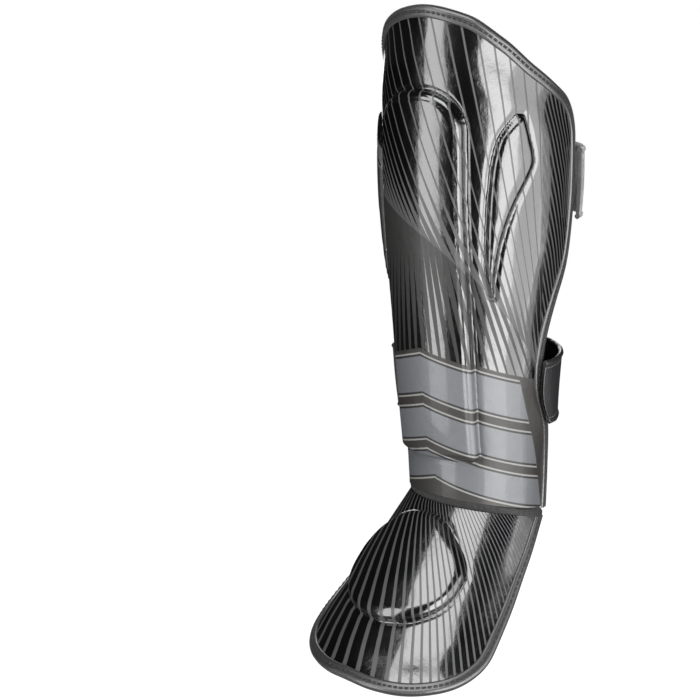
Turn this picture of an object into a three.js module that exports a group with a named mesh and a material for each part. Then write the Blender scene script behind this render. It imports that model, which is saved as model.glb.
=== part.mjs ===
// Shin and instep guard for kickboxing, for one leg. A padded shell wraps the front of the lower leg. A raised
// bar runs down the shin, and a raised leaf-shaped pad lies on each side of it. A padded flap hangs from the
// ankle edge and covers the instep, with a raised egg-shaped pad. Tape binds both edges, and three straps go
// round the back of the leg. Millimetres, +Z up, the front faces -Y. The origin is where the shin bears: on the
// shell's inner face, at the front centre and half way up.
//
// Every piece is cut flat and then bent to its place. The flat pattern of the shell has its length round the leg
// from the front centre, and its height above the hem. The flat pattern of the flap has its length round the
// foot from the centre line, and its height below the ankle.
import * as THREE from "three";
import { mergeVertices } from "three/addons/utils/BufferGeometryUtils.js";

// Shell
const SHIN_LENGTH = 345; // front centre, hem to top edge
const CALF_RADIUS = 70.5; // of the outer face round the leg's axis, at its widest
const TOP_RAKE = 74; // how far the top edge falls from the front centre to its rear corners
const HEM_RAKE = 13; // how far the hem falls from the front to the side
const TOP_CORNER = 20; // rounding of the two upper corners
const WIDEST_WRAP = 109; // degrees from the front centre to the rear edge
const SHELL_FOAM = 15; // thickness away from its edges, at the calf
const SHELL_EDGE = 6; // thickness pressed and sewn under the tape
const EDGE_RAMP = 30; // width over which the foam thins towards an edge
const EDGE_SINK = 2.5; // how far the outer face falls towards an edge

// From hem to top edge, as shares of the calf's radius, the widest wrap and the calf's foam
const SHELL_SECTIONS = [
  { height: 0.0, radius: 0.765, wrap: 0.965, foam: 0.75 },
  { height: 0.08, radius: 0.782, wrap: 0.98, foam: 0.76 },
  { height: 0.2, radius: 0.835, wrap: 0.93, foam: 0.8 },
  { height: 0.31, radius: 0.878, wrap: 0.79, foam: 0.88 },
  { height: 0.42, radius: 0.924, wrap: 0.795, foam: 0.96 },
  { height: 0.53, radius: 0.968, wrap: 0.87, foam: 1.0 },
  { height: 0.64, radius: 0.995, wrap: 0.965, foam: 1.0 },
  { height: 0.82, radius: 1.0, wrap: 1.0, foam: 1.0 },
  { height: 1.0, radius: 1.01, wrap: 0.985, foam: 1.0 },
];

// The top edge from the front centre round to the rear corner, as shares of its rake. The first row is its other
// half, so that it leaves the centre level.
const TOP_SECTIONS = [
  { angle: -30, fall: 0.105 },
  { angle: 0, fall: 0.0 },
  { angle: 30, fall: 0.105 },
  { angle: 50, fall: 0.31 },
  { angle: 68, fall: 0.54 },
  { angle: 92, fall: 0.79 },
  { angle: 112, fall: 1.0 },
];

// Folded band that joins the hem to the flap
const HINGE_HEIGHT = 7;
const HINGE_THICKNESS = 7;
const HINGE_WRAP = 94; // degrees
const HINGE_INSET = 1; // its face behind the shell's face
const HINGE_RAKE = 9.4; // how far its lower edge falls from the front to the side

// Edge tape, a folded strip. Its section from the outer lip round the edge to the inner lip.
const TAPE_WIDTH = 6.5;
const TAPE_THICKNESS = 1.3;
const FIT_GAP = 0.35; // between pieces that are sewn or laid on each other
const TAPE_GAP = 0.8; // between the tape and the edge folded into it
const TAPE_SECTION = [
  { inset: 1.0, level: 1.0, out: 0.0, up: 1.0 },
  { inset: 0.0, level: 1.0, out: 0.5, up: 0.9 },
  { inset: 0.0, level: 0.0, out: 1.2, up: 0.0 },
  { inset: 0.0, level: -1.0, out: 0.5, up: -0.9 },
  { inset: 1.0, level: -1.0, out: 0.0, up: -1.0 },
];

// Raised bar down the shin
const BAR_LENGTH = 262;
const BAR_WIDTH = 71;
const BAR_HEIGHT = 7;
const BAR_FROM_HEM = 29;
const BAR_TOP_CORNER = 29;
const BAR_FOOT_CORNER = 6;
const PAD_SIDE = 1.2; // height of a raised pad's sewn side
const PAD_ROUNDING = 9; // width over which a raised pad rounds off

// Raised leaf-shaped pad beside the bar, its two sides as shares of its width
const LEAF_LENGTH = 123;
const LEAF_WIDTH = 35.5;
const LEAF_HEIGHT = 3.2;
const LEAF_FROM_HEM = 151;
const LEAF_FROM_CENTRE = 47.5;
const LEAF_SECTIONS = [
  { along: 0.0, near: 0.07, far: 0.12 },
  { along: 0.11, near: 0.0, far: 0.16 },
  { along: 0.34, near: 0.03, far: 0.35 },
  { along: 0.52, near: 0.08, far: 0.6 },
  { along: 0.67, near: 0.13, far: 0.89 },
  { along: 0.75, near: 0.17, far: 1.0 },
  { along: 0.88, near: 0.3, far: 0.91 },
  { along: 0.96, near: 0.5, far: 0.83 },
  { along: 1.0, near: 0.65, far: 0.78 },
];

// Instep flap
const FLAP_LENGTH = 142; // centre line, ankle to toe edge
const FLAP_SLOPE = 44; // of the centre line below the horizontal
const FLAP_SET_BACK = 4; // its ankle edge behind the shell's face
const FLAP_HALF_WIDTH = 86; // round the foot
const FLAP_FOAM = 11;
const FLAP_EDGE = 5;
const FLAP_RAMP = 22;
const FLAP_SINK = 1.5;
const TOE_ROUND_ACROSS = 0.85; // the toe corners' rounding, as shares of the half width and half length
const TOE_ROUND_ALONG = 0.72;
const FLAP_SECTIONS = [
  { down: 0.0, radius: 58, tilt: 12, half: 0.98 },
  { down: 0.12, radius: 63, tilt: 15, half: 0.995 },
  { down: 0.3, radius: 73, tilt: 22, half: 1.0 },
  { down: 0.5, radius: 87, tilt: 29, half: 1.01 },
  { down: 0.73, radius: 106, tilt: 34, half: 1.01 },
  { down: 1.0, radius: 126, tilt: 36, half: 0.995 },
];

// Raised pad on the instep, as a share of the flap's length and of the pad's half width
const EGG_LENGTH = 88;
const EGG_HALF_WIDTH = 51;
const EGG_HEIGHT = 8;
const EGG_FROM_ANKLE = 9;
const EGG_ASIDE = -5; // of its centre line from the flap's
const EGG_ROUND_ACROSS = 0.8; // rounding of its toe and ankle ends, as shares of half its size
const EGG_ROUND_ALONG = 0.2;
const EGG_SECTIONS = [
  { along: 0.0, half: 0.4 },
  { along: 0.1, half: 0.64 },
  { along: 0.2, half: 0.84 },
  { along: 0.32, half: 0.96 },
  { along: 0.45, half: 1.0 },
  { along: 0.56, half: 0.98 },
  { along: 0.72, half: 0.8 },
  { along: 0.87, half: 0.51 },
  { along: 1.0, half: 0.28 },
];

// Straps round the back of the leg, heights above the hem at the front. The right end of each strap is sewn on
// the shell's edge, and its left end lies on a hook patch on the shell's outer face.
const PATCH_LENGTH = 20;
const PATCH_THICKNESS = 1.5;
const PATCH_MARGIN = 3; // strap edge to patch edge
const STRAP_WIDTH = 50;
const STRAP_THICKNESS = 4;
const STRAP_SEWN = 4; // how far the strap runs over the shell from the right edge
const CALF_STRAP_HEIGHT = 224;
const CALF_STRAP_PULL = 7; // how far the strap is drawn in behind the leg
const SHIN_STRAP_HEIGHT = 77;
const SHIN_STRAP_PULL = 11;
const ANKLE_STRAP_HEIGHT = 31;
const ANKLE_STRAP_WIDTH = 36;
const ANKLE_STRAP_THICKNESS = 2.2;
const ANKLE_STRAP_SEWN = 12;
const ANKLE_STRAP_PULL = 6;
const padded = { width: STRAP_WIDTH, thickness: STRAP_THICKNESS, sewn: STRAP_SEWN, inside: false };
const thin = { width: ANKLE_STRAP_WIDTH, thickness: ANKLE_STRAP_THICKNESS, sewn: ANKLE_STRAP_SEWN, inside: true };
const STRAPS = [
  { name: "calf_strap", height: CALF_STRAP_HEIGHT, pull: CALF_STRAP_PULL, ...padded },
  { name: "shin_strap", height: SHIN_STRAP_HEIGHT, pull: SHIN_STRAP_PULL, ...padded },
  { name: "ankle_strap", height: ANKLE_STRAP_HEIGHT, pull: ANKLE_STRAP_PULL, ...thin },
];

const LEATHER = { color: 0x0b0b0c, roughness: 0.12, metalness: 0 };
const TAPE = { color: 0x3a3836, roughness: 0.55, metalness: 0 };
const WEBBING = { color: 0x101011, roughness: 0.75, metalness: 0 };

const { degToRad, radToDeg, lerp, clamp, smoothstep } = THREE.MathUtils;

// The value of one column of a table of sections, smooth between its rows
function sectionValue(table, column, key, place) {
  const at = clamp(place, table[0][column], table[table.length - 1][column]);
  const row = Math.max(1, table.findIndex((section) => section[column] >= at));
  const [before, after] = [table[row - 1], table[row]];
  const next = table[Math.min(row + 1, table.length - 1)];
  const last = table[Math.max(row - 2, 0)];
  const span = after[column] - before[column];
  const part = (at - before[column]) / span;
  const slope = (from, to) => ((to[key] - from[key]) / (to[column] - from[column])) * span;
  const [leave, arrive] = [slope(last, after), slope(before, next)];
  const change = after[key] - before[key];
  const bend = leave * (1 - part) ** 2 * part - arrive * part * part * (1 - part);
  return before[key] + change * part * part * (3 - 2 * part) + bend;
}

const hemHeight = (angle) => -HEM_RAKE * (1 - Math.cos(angle));
const topHeight = (angle) =>
  SHIN_LENGTH - TOP_RAKE * sectionValue(TOP_SECTIONS, "angle", "fall", radToDeg(Math.abs(angle)));
const shellValue = (key, share) => sectionValue(SHELL_SECTIONS, "height", key, share);
const legRadius = (z) => CALF_RADIUS * shellValue("radius", z / SHIN_LENGTH);
const wrapAngle = (share) => degToRad(WIDEST_WRAP) * shellValue("wrap", share);

// A point of the shell's outer face from the flat pattern: x round the leg, y up
function shellFace(flat) {
  const radius = legRadius(flat.y);
  const angle = flat.x / radius;
  return new THREE.Vector3(radius * Math.sin(angle), -radius * Math.cos(angle), flat.y);
}

// A point of the flap's outer face from its flat pattern: x round the foot, y up from the toe to the ankle, 0 at
// the ankle
const ankleFront = new THREE.Vector3(
  0,
  FLAP_SET_BACK - legRadius(0),
  hemHeight(0) - HINGE_HEIGHT - 2 * FIT_GAP,
);
function flapFace(flat) {
  const value = (key) => sectionValue(FLAP_SECTIONS, "down", key, -flat.y / FLAP_LENGTH);
  const radius = value("radius");
  const tilt = degToRad(value("tilt"));
  const slope = degToRad(FLAP_SLOPE);
  const angle = flat.x / radius;
  const back = radius * (1 - Math.cos(angle));
  return new THREE.Vector3(
    radius * Math.sin(angle),
    ankleFront.y + flat.y * Math.cos(slope) + back * Math.cos(tilt),
    ankleFront.z + flat.y * Math.sin(slope) - back * Math.sin(tilt),
  );
}

// A point lifted off a face along its outward normal
function lifted(face, flat, lift) {
  const step = 0.01;
  const at = (x, y) => face(new THREE.Vector2(flat.x + x, flat.y + y));
  const along = at(step, 0).sub(at(-step, 0));
  const up = at(0, step).sub(at(0, -step));
  return face(flat).addScaledVector(along.cross(up).normalize(), lift);
}

// A closed slab of cells. place(u, v, w) gives each vertex, with u, v and w from -1 to 1: across, up and out.
function slab(name, look, cells, place) {
  const box = new THREE.BoxGeometry(2, 2, 2, cells[0], cells[1], 1);
  box.deleteAttribute("uv");
  box.deleteAttribute("normal");
  const geometry = mergeVertices(box);
  const position = geometry.getAttribute("position");
  const vertex = new THREE.Vector3();
  for (let i = 0; i < position.count; i += 1) {
    vertex.fromBufferAttribute(position, i);
    const placed = place(vertex.x, vertex.y, vertex.z);
    position.setXYZ(i, placed.x, placed.y, placed.z);
  }
  geometry.computeVertexNormals();
  const mesh = new THREE.Mesh(geometry, new THREE.MeshStandardMaterial(look));
  mesh.name = name;
  return mesh;
}

// Cell lines from -1 to 1 with the first and last cell of a given width
function pinched(at, cells, width) {
  const last = 2 / cells;
  const from = Math.abs(at);
  const inner = (from / (1 - last)) * (1 - width);
  const outer = 1 - width + ((from - 1 + last) / last) * width;
  return Math.sign(at) * (from <= 1 - last ? inner : outer);
}

// A place in the square from -1 to 1 with its upper or lower corners rounded off
function rounded(u, v, across, along) {
  const a = (Math.abs(u) - 1 + across) / across;
  const b = (Math.abs(v) - 1 + along) / along;
  if (a <= 0 || b <= 0) {
    return [u, v];
  }
  const [x, y] = [a * Math.sqrt(1 - (b * b) / 2), b * Math.sqrt(1 - (a * a) / 2)];
  return [Math.sign(u) * (1 - across + across * x), Math.sign(v) * (1 - along + along * y)];
}

// How far a flat point lies from a line of flat points
function distanceTo(line, point) {
  const nearest = new THREE.Vector2();
  let distance = Infinity;
  for (let i = 1; i < line.length; i += 1) {
    const run = nearest.subVectors(line[i], line[i - 1]);
    const part = clamp(run.dot(point.clone().sub(line[i - 1])) / run.lengthSq(), 0, 1);
    distance = Math.min(distance, line[i - 1].clone().addScaledVector(run, part).distanceTo(point));
  }
  return distance;
}

// The edge of a slab, as cell corners in turn: up one side, across the top and down the other. A full turn also
// goes back across the foot.
function edgeCorners(cells, full) {
  const steps = (count) => Array.from({ length: count }, (_, i) => -1 + (2 * i) / count);
  const side = [
    ...steps(cells[1]).map((v) => [-1, v]),
    ...steps(cells[0]).map((u) => [u, 1]),
    ...steps(cells[1]).map((v) => [1, -v]),
  ];
  return full ? [...side, ...steps(cells[0]).map((u) => [-u, -1]), [-1, -1]] : [...side, [1, -1]];
}

// The shell
const SHELL_CELLS = [34, 24];
function shellFlat(u, v) {
  const wide = pinched(u, SHELL_CELLS[0], (TAPE_WIDTH + 1) / (CALF_RADIUS * degToRad(WIDEST_WRAP)));
  const high = pinched(v, SHELL_CELLS[1], (2 * (TAPE_WIDTH + 1)) / (SHIN_LENGTH - TOP_RAKE));
  const corner = TOP_CORNER / (CALF_RADIUS * degToRad(WIDEST_WRAP));
  const [side, level] = high > 0 ? rounded(wide, high, corner, (2 * TOP_CORNER) / SHIN_LENGTH) : [wide, high];
  const share = (level + 1) / 2;
  const angle = side * wrapAngle(share);
  const z = lerp(hemHeight(angle), topHeight(angle), share);
  return new THREE.Vector2(angle * legRadius(z), z);
}
const shellEdge = edgeCorners(SHELL_CELLS, false).map(([u, v]) => shellFlat(u, v));

// How far the foam has reached its full thickness at a distance from the taped edge
const foamShare = (distance, ramp) => smoothstep(distance, TAPE_WIDTH + 3, TAPE_WIDTH + ramp);

const shell = slab("shin_shell", LEATHER, SHELL_CELLS, (u, v, w) => {
  const flat = shellFlat(u, v);
  const share = foamShare(distanceTo(shellEdge, flat), EDGE_RAMP);
  const foam = SHELL_FOAM * shellValue("foam", flat.y / SHIN_LENGTH);
  const outer = -EDGE_SINK * (1 - share);
  const inner = lerp(-EDGE_SINK - SHELL_EDGE, -foam, share);
  return lifted(shellFace, flat, w > 0 ? outer : inner);
});

// Tape folded round an edge. The edge line runs with the piece on its right, seen from outside.
function tapeMesh(name, face, edge, sink, thickness) {
  const last = edge.length - 1;
  const cells = [last, TAPE_SECTION.length - 1];
  return slab(name, TAPE, cells, (u, v, w) => {
    const i = Math.round(((u + 1) / 2) * last);
    const row = TAPE_SECTION[Math.round(((v + 1) / 2) * (TAPE_SECTION.length - 1))];
    const run = edge[Math.min(i + 1, last)].clone().sub(edge[Math.max(i - 1, 0)]).normalize();
    const inward = new THREE.Vector2(run.y, -run.x);
    const over = w > 0 ? TAPE_THICKNESS : 0;
    const inset = row.inset * TAPE_WIDTH - (1 - row.inset) * TAPE_GAP - row.out * over;
    const level = row.level * (thickness / 2 + TAPE_GAP) + row.up * over - sink - thickness / 2;
    return lifted(face, edge[i].clone().addScaledVector(inward, inset), level);
  });
}

// A raised pad, flat underneath and rounded off towards its outline
function padMesh(name, cells, face, flatAt, height) {
  const outline = edgeCorners(cells, true).map(([u, v]) => flatAt(u, v));
  return slab(name, LEATHER, cells, (u, v, w) => {
    const flat = flatAt(u, v);
    const from = 1 - clamp(distanceTo(outline, flat) / PAD_ROUNDING, 0, 1);
    const top = PAD_SIDE + (height - PAD_SIDE) * Math.sqrt(1 - from * from);
    return lifted(face, flat, FIT_GAP + (w > 0 ? top : 0));
  });
}

const BAR_CELLS = [10, 26];
const bar = padMesh("shin_bar_pad", BAR_CELLS, shellFace, (u, v) => {
  const corner = v > 0 ? BAR_TOP_CORNER : BAR_FOOT_CORNER;
  const wide = pinched(u, BAR_CELLS[0], (PAD_ROUNDING / 2) / BAR_WIDTH);
  const high = pinched(v, BAR_CELLS[1], (PAD_ROUNDING / 2) / BAR_LENGTH);
  const [x, y] = rounded(wide, high, (2 * corner) / BAR_WIDTH, (2 * corner) / BAR_LENGTH);
  return new THREE.Vector2((x * BAR_WIDTH) / 2, BAR_FROM_HEM + ((y + 1) / 2) * BAR_LENGTH);
}, BAR_HEIGHT);

const LEAF_CELLS = [6, 16];
const leafFlat = (u, v) => {
  const along = (v + 1) / 2;
  const side = (key) => sectionValue(LEAF_SECTIONS, "along", key, along);
  const wide = (pinched(u, LEAF_CELLS[0], PAD_SIDE / PAD_ROUNDING) + 1) / 2;
  const across = LEAF_FROM_CENTRE + LEAF_WIDTH * lerp(side("near"), side("far"), wide);
  return new THREE.Vector2(across, LEAF_FROM_HEM + along * LEAF_LENGTH);
};
const mirrored = (flatAt) => (u, v) => flatAt(-u, v).multiply(new THREE.Vector2(-1, 1));
const leaves = [
  padMesh("side_pad_right", LEAF_CELLS, shellFace, leafFlat, LEAF_HEIGHT),
  padMesh("side_pad_left", LEAF_CELLS, shellFace, mirrored(leafFlat), LEAF_HEIGHT),
];

// The band under the hem
const hinge = slab("ankle_hinge", TAPE, [24, 1], (u, v, w) => {
  const angle = u * degToRad(HINGE_WRAP);
  const radius = legRadius(0) - HINGE_INSET - (w > 0 ? 0 : HINGE_THICKNESS);
  const top = hemHeight(angle) - FIT_GAP;
  const z = v > 0 ? top : -FIT_GAP - HINGE_HEIGHT - HINGE_RAKE * (1 - Math.cos(angle));
  return new THREE.Vector3(radius * Math.sin(angle), -radius * Math.cos(angle), z);
});

// The flap. Its slab runs up from the toe to the ankle, so its taped edge is its sides and its foot.
const FLAP_CELLS = [22, 16];
function flapFlat(u, v) {
  const wide = pinched(u, FLAP_CELLS[0], (TAPE_WIDTH + 1) / FLAP_HALF_WIDTH);
  const high = pinched(v, FLAP_CELLS[1], (2 * (TAPE_WIDTH + 1)) / FLAP_LENGTH);
  const [side, level] = high < 0 ? rounded(wide, high, TOE_ROUND_ACROSS, TOE_ROUND_ALONG) : [wide, high];
  const down = (1 - level) / 2;
  const half = FLAP_HALF_WIDTH * sectionValue(FLAP_SECTIONS, "down", "half", down);
  return new THREE.Vector2(side * half, -down * FLAP_LENGTH);
}
const flapEdge = edgeCorners(FLAP_CELLS, false).map(([u, v]) => flapFlat(-u, -v));

const flap = slab("instep_flap", LEATHER, FLAP_CELLS, (u, v, w) => {
  const flat = flapFlat(u, v);
  const share = foamShare(distanceTo(flapEdge, flat), FLAP_RAMP);
  const outer = -FLAP_SINK * (1 - share);
  const inner = lerp(-FLAP_SINK - FLAP_EDGE, -FLAP_FOAM, share);
  return lifted(flapFace, flat, w > 0 ? outer : inner);
});

const EGG_CELLS = [14, 12];
const egg = padMesh("instep_pad", EGG_CELLS, flapFace, (u, v) => {
  const wide = pinched(u, EGG_CELLS[0], PAD_SIDE / PAD_ROUNDING);
  const [x, y] = rounded(wide, pinched(v, EGG_CELLS[1], PAD_SIDE / PAD_ROUNDING), EGG_ROUND_ACROSS, EGG_ROUND_ALONG);
  const half = EGG_HALF_WIDTH * sectionValue(EGG_SECTIONS, "along", "half", (y + 1) / 2);
  return new THREE.Vector2(EGG_ASIDE + x * half, -EGG_FROM_ANKLE - ((1 - y) / 2) * EGG_LENGTH);
}, EGG_HEIGHT);

// The straps and the patches under their left ends
const STRAP_CELLS = [30, 2];
const strapPieces = STRAPS.flatMap(({ name, height, width, thickness, sewn, pull, inside }) => {
  const radius = legRadius(height);
  const edgeAngle = (level) => {
    const share = (z, angle) => (z - hemHeight(angle)) / (topHeight(angle) - hemHeight(angle));
    return wrapAngle(share(level, degToRad(WIDEST_WRAP)));
  };
  const rear = edgeAngle(height);
  const end = 2 * Math.PI - rear + (PATCH_LENGTH + TAPE_WIDTH) / radius;
  const innerLift = -EDGE_SINK - SHELL_EDGE - TAPE_THICKNESS - 3 * FIT_GAP - thickness;
  const outerLift = PATCH_THICKNESS + 2 * FIT_GAP;
  const strap = slab(name, WEBBING, STRAP_CELLS, (u, v, w) => {
    const z = height + (v * width) / 2;
    const from = edgeAngle(z);
    const angle = lerp(from - sewn / radius, end, (u + 1) / 2);
    const free = from + TAPE_WIDTH / 2 / radius;
    const part = clamp((angle - free) / (2 * (Math.PI - free)), 0, 1);
    const ends = lerp(inside ? innerLift : TAPE_GAP, outerLift, smoothstep(part, 0.06, 1));
    const lift = ends - pull * Math.sin(part * Math.PI);
    const crown = w > 0 ? thickness : 0;
    return lifted(shellFace, new THREE.Vector2(angle * legRadius(z), z), lift + crown);
  });
  const patch = slab(`${name}_patch`, WEBBING, [6, 2], (u, v, w) => {
    const angle = end - (PATCH_LENGTH * (1 - u)) / 2 / radius - PATCH_MARGIN / radius;
    const z = height + v * (width / 2 - PATCH_MARGIN);
    return lifted(shellFace, new THREE.Vector2(angle * legRadius(z), z), FIT_GAP + (w > 0 ? PATCH_THICKNESS : 0));
  });
  return [strap, patch];
});

const group = new THREE.Group();
group.add(shell, bar, ...leaves, hinge, flap, egg, ...strapPieces);
group.add(tapeMesh("shin_binding", shellFace, shellEdge, EDGE_SINK, SHELL_EDGE));
group.add(tapeMesh("instep_binding", flapFace, flapEdge, FLAP_SINK, FLAP_EDGE));

// The origin goes to the shell's inner face, at the front centre and half way up
const seat = lifted(shellFace, new THREE.Vector2(0, SHIN_LENGTH / 2), -SHELL_FOAM);
group.position.copy(seat).negate();

export default group;
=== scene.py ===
# Shin and instep guard for kickboxing, one leg. Lengths in the cutting patterns are millimetres, and the
# finished pieces are in metres in the frame of the model: +Z up the leg, the shin faces -Y.
import math

import bmesh
import bpy
import numpy as np
from mathutils import Euler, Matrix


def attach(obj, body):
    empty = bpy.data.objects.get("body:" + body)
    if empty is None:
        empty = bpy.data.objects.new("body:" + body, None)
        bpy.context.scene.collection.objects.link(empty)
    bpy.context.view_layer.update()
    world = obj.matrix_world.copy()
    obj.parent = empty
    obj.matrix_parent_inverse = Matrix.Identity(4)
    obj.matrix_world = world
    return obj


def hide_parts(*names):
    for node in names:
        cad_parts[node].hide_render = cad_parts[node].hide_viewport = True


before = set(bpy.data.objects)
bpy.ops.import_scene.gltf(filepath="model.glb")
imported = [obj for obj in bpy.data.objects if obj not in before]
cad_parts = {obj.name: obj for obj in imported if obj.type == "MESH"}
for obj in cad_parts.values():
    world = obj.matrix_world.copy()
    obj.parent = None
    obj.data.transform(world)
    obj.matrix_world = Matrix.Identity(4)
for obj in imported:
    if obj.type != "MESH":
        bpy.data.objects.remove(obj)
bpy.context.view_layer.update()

# The camera stands in front of the guard and to its right, a metre off and as high as its top edge. It looks
# down a little, as in a catalogue picture of a pair, so one guard alone stands right of the middle.
CAMERA_TURN, CAMERA_DOWN, CAMERA_ROLL = 43.36, 13.97, -1.33
lens = bpy.data.cameras.new("catalogue_camera")
lens.sensor_width = 36
lens.lens = 68.18
lens.clip_end = 500
camera = bpy.data.objects.new("catalogue_camera", lens)
camera.location = (0.5836, -0.7065, 0.1636)
aim = Euler((math.radians(90 - CAMERA_DOWN), 0, math.radians(CAMERA_TURN))).to_matrix()
roll = Euler((0, 0, math.radians(CAMERA_ROLL))).to_matrix()
camera.rotation_euler = (aim @ roll).to_euler()
bpy.context.scene.collection.objects.link(camera)
bpy.context.scene.camera = camera

# The studio: a pale floor and a pale surround, and soft boxes that draw long soft lights down the glossy
# cover. The guard is held up as the leg holds it, clear of the floor. The boxes point near its middle. Their
# places and sizes are metres, and their power is watts.
FLOOR_HEIGHT, FLOOR_REACH, FLOOR_GREY = -0.85, 200, 0.12
AIM_HEIGHT = -0.03
bpy.context.scene.view_settings.view_transform = "Standard"


def unseen_by_mirrors(tree, seen, mirrored):
    """A strength that is one thing to the camera and another to what reflects it."""
    rays = tree.nodes.new("ShaderNodeLightPath")
    mix = tree.nodes.new("ShaderNodeMix")
    mix.inputs[2].default_value = mirrored
    mix.inputs[3].default_value = seen
    tree.links.new(rays.outputs["Is Camera Ray"], mix.inputs[0])
    return mix.outputs[0]


surround = bpy.data.worlds.new("pale_surround")
surround.use_nodes = True
sky = surround.node_tree
sky.nodes["Background"].inputs["Color"].default_value = (1, 1, 1, 1)
sky.links.new(unseen_by_mirrors(sky, 1.0, 0.02), sky.nodes["Background"].inputs["Strength"])
bpy.context.scene.world = surround

floor_form = bmesh.new()
bmesh.ops.create_grid(floor_form, x_segments=2, y_segments=2, size=FLOOR_REACH)
bmesh.ops.translate(floor_form, vec=(0, 0, FLOOR_HEIGHT), verts=floor_form.verts)
floor_mesh = bpy.data.meshes.new("studio_floor")
floor_form.to_mesh(floor_mesh)
floor_form.free()
studio_floor = bpy.data.objects.new("studio_floor", floor_mesh)
bpy.context.scene.collection.objects.link(studio_floor)
floor_paint = bpy.data.materials.new("pale_floor_paint")
floor_paint.use_nodes = True
paint = floor_paint.node_tree.nodes["Principled BSDF"]
paint.inputs["Base Color"].default_value = (FLOOR_GREY, FLOOR_GREY, FLOOR_GREY, 1)
paint.inputs["Roughness"].default_value = 0.9
paint.inputs["Emission Color"].default_value = (1, 1, 1, 1)
lift = unseen_by_mirrors(floor_paint.node_tree, 1.0, 0.0)
floor_paint.node_tree.links.new(lift, paint.inputs["Emission Strength"])
floor_mesh.materials.append(floor_paint)


def soft_box(name, bearing, height, distance, wide, tall, power):
    """A soft box that faces the guard from a bearing in degrees: 0 in front, 90 on its +X side."""
    lamp = bpy.data.lights.new(name, "AREA")
    lamp.shape = "RECTANGLE"
    lamp.size, lamp.size_y, lamp.energy = wide, tall, power
    box = bpy.data.objects.new(name, lamp)
    turn = math.radians(bearing)
    box.location = (math.sin(turn) * distance, -math.cos(turn) * distance, height)
    box.rotation_euler = (math.pi / 2 - math.atan2(height - AIM_HEIGHT, distance), 0, turn)
    bpy.context.scene.collection.objects.link(box)


soft_box("tall_box_front", -14, 0.0, 1.3, 0.62, 1.6, 20)
soft_box("wide_box_side", 79, -0.2, 1.3, 1.7, 1.3, 34)
soft_box("bright_box_side", 62, -0.2, 1.25, 0.75, 1.15, 14)
soft_box("dim_box_rear_side", 117, -0.2, 1.4, 0.3, 1.4, 3.4)
soft_box("top_box", 20, 1.0, 0.72, 1.05, 0.8, 21)
soft_box("rear_fill", -140, 0.3, 1.8, 0.9, 1.4, 9)

# The shell: foam that wraps the front of the lower leg, under a glossy coated cover that is pressed to shape
# with a bar down the shin and a leaf on each side of it. Its pattern lies flat: x round the leg from the
# front centre, y up from the hem. SEAT is the model's origin in the pattern's frame.
SEAT = np.array((0.0, -52.535, 173.682))
SHIN_LENGTH = 345.0
CALF_RADIUS = 70.5
WIDEST_WRAP = math.radians(109)
HEM_RAKE = 13.0
TOP_RAKE = 74.0
TOP_ANGLES = (-30, 0, 30, 50, 68, 92, 112)
TOP_FALLS = (0.105, 0.0, 0.105, 0.31, 0.54, 0.79, 1.0)
TOP_CORNER = 20.0
OUTLINE_SPACING = 2.5
SHELL_HEIGHTS = (0.0, 0.08, 0.2, 0.31, 0.42, 0.53, 0.64, 0.82, 1.0)
SHELL_RADII = (0.765, 0.782, 0.835, 0.878, 0.924, 0.968, 0.995, 1.0, 1.01)
SHELL_WRAPS = (0.965, 0.98, 0.93, 0.79, 0.795, 0.87, 0.965, 1.0, 0.985)


def eased(places, values, at):
    """A smooth run through a piece's measured sections."""
    places, values = np.array(places), np.array(values)
    at = np.clip(at, places[0], places[-1])
    after = np.clip(np.searchsorted(places, at, side="left"), 1, len(places) - 1)
    before = after - 1
    last, following = np.maximum(after - 2, 0), np.minimum(after + 1, len(places) - 1)
    span = places[after] - places[before]
    part = (at - places[before]) / span
    leave = (values[after] - values[last]) / (places[after] - places[last]) * span
    arrive = (values[following] - values[before]) / (places[following] - places[before]) * span
    change = values[after] - values[before]
    bend = leave * (1 - part) ** 2 * part - arrive * part**2 * (1 - part)
    return values[before] + change * part**2 * (3 - 2 * part) + bend


def hem_height(angle):
    return -HEM_RAKE * (1 - np.cos(angle))


def top_height(angle):
    return SHIN_LENGTH - TOP_RAKE * eased(TOP_ANGLES, TOP_FALLS, np.degrees(np.abs(angle)))


def shell_radius(height):
    return CALF_RADIUS * eased(SHELL_HEIGHTS, SHELL_RADII, height / SHIN_LENGTH)


def on_shell(x, y):
    """Where a point of the shell's flat pattern lies round the leg."""
    radius = shell_radius(y)
    return np.stack((radius * np.sin(x / radius), -radius * np.cos(x / radius), y + 0 * x), -1)


def raised(face, x, y, lift):
    """Points lifted off a face along its outward normal, in metres in the frame of the model."""
    step = 0.05
    along = face(x + step, y) - face(x - step, y)
    upward = face(x, y + step) - face(x, y - step)
    normal = np.cross(along, upward)
    normal /= np.linalg.norm(normal, axis=-1, keepdims=True)
    return (face(x, y) + normal * np.asarray(lift)[..., None] - SEAT) / 1000


def round_corners(across, up, wide, high):
    """A place in the square from -1 to 1 with its corners rounded off."""
    a = (np.abs(across) - 1 + wide) / wide
    b = (np.abs(up) - 1 + high) / high
    corner = (a > 0) & (b > 0)
    a, b = np.where(corner, a, 0), np.where(corner, b, 0)
    x, y = a * np.sqrt(1 - b * b / 2), b * np.sqrt(1 - a * a / 2)
    return (
        np.where(corner, np.sign(across) * (1 - wide + wide * x), across),
        np.where(corner, np.sign(up) * (1 - high + high * y), up),
    )


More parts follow.
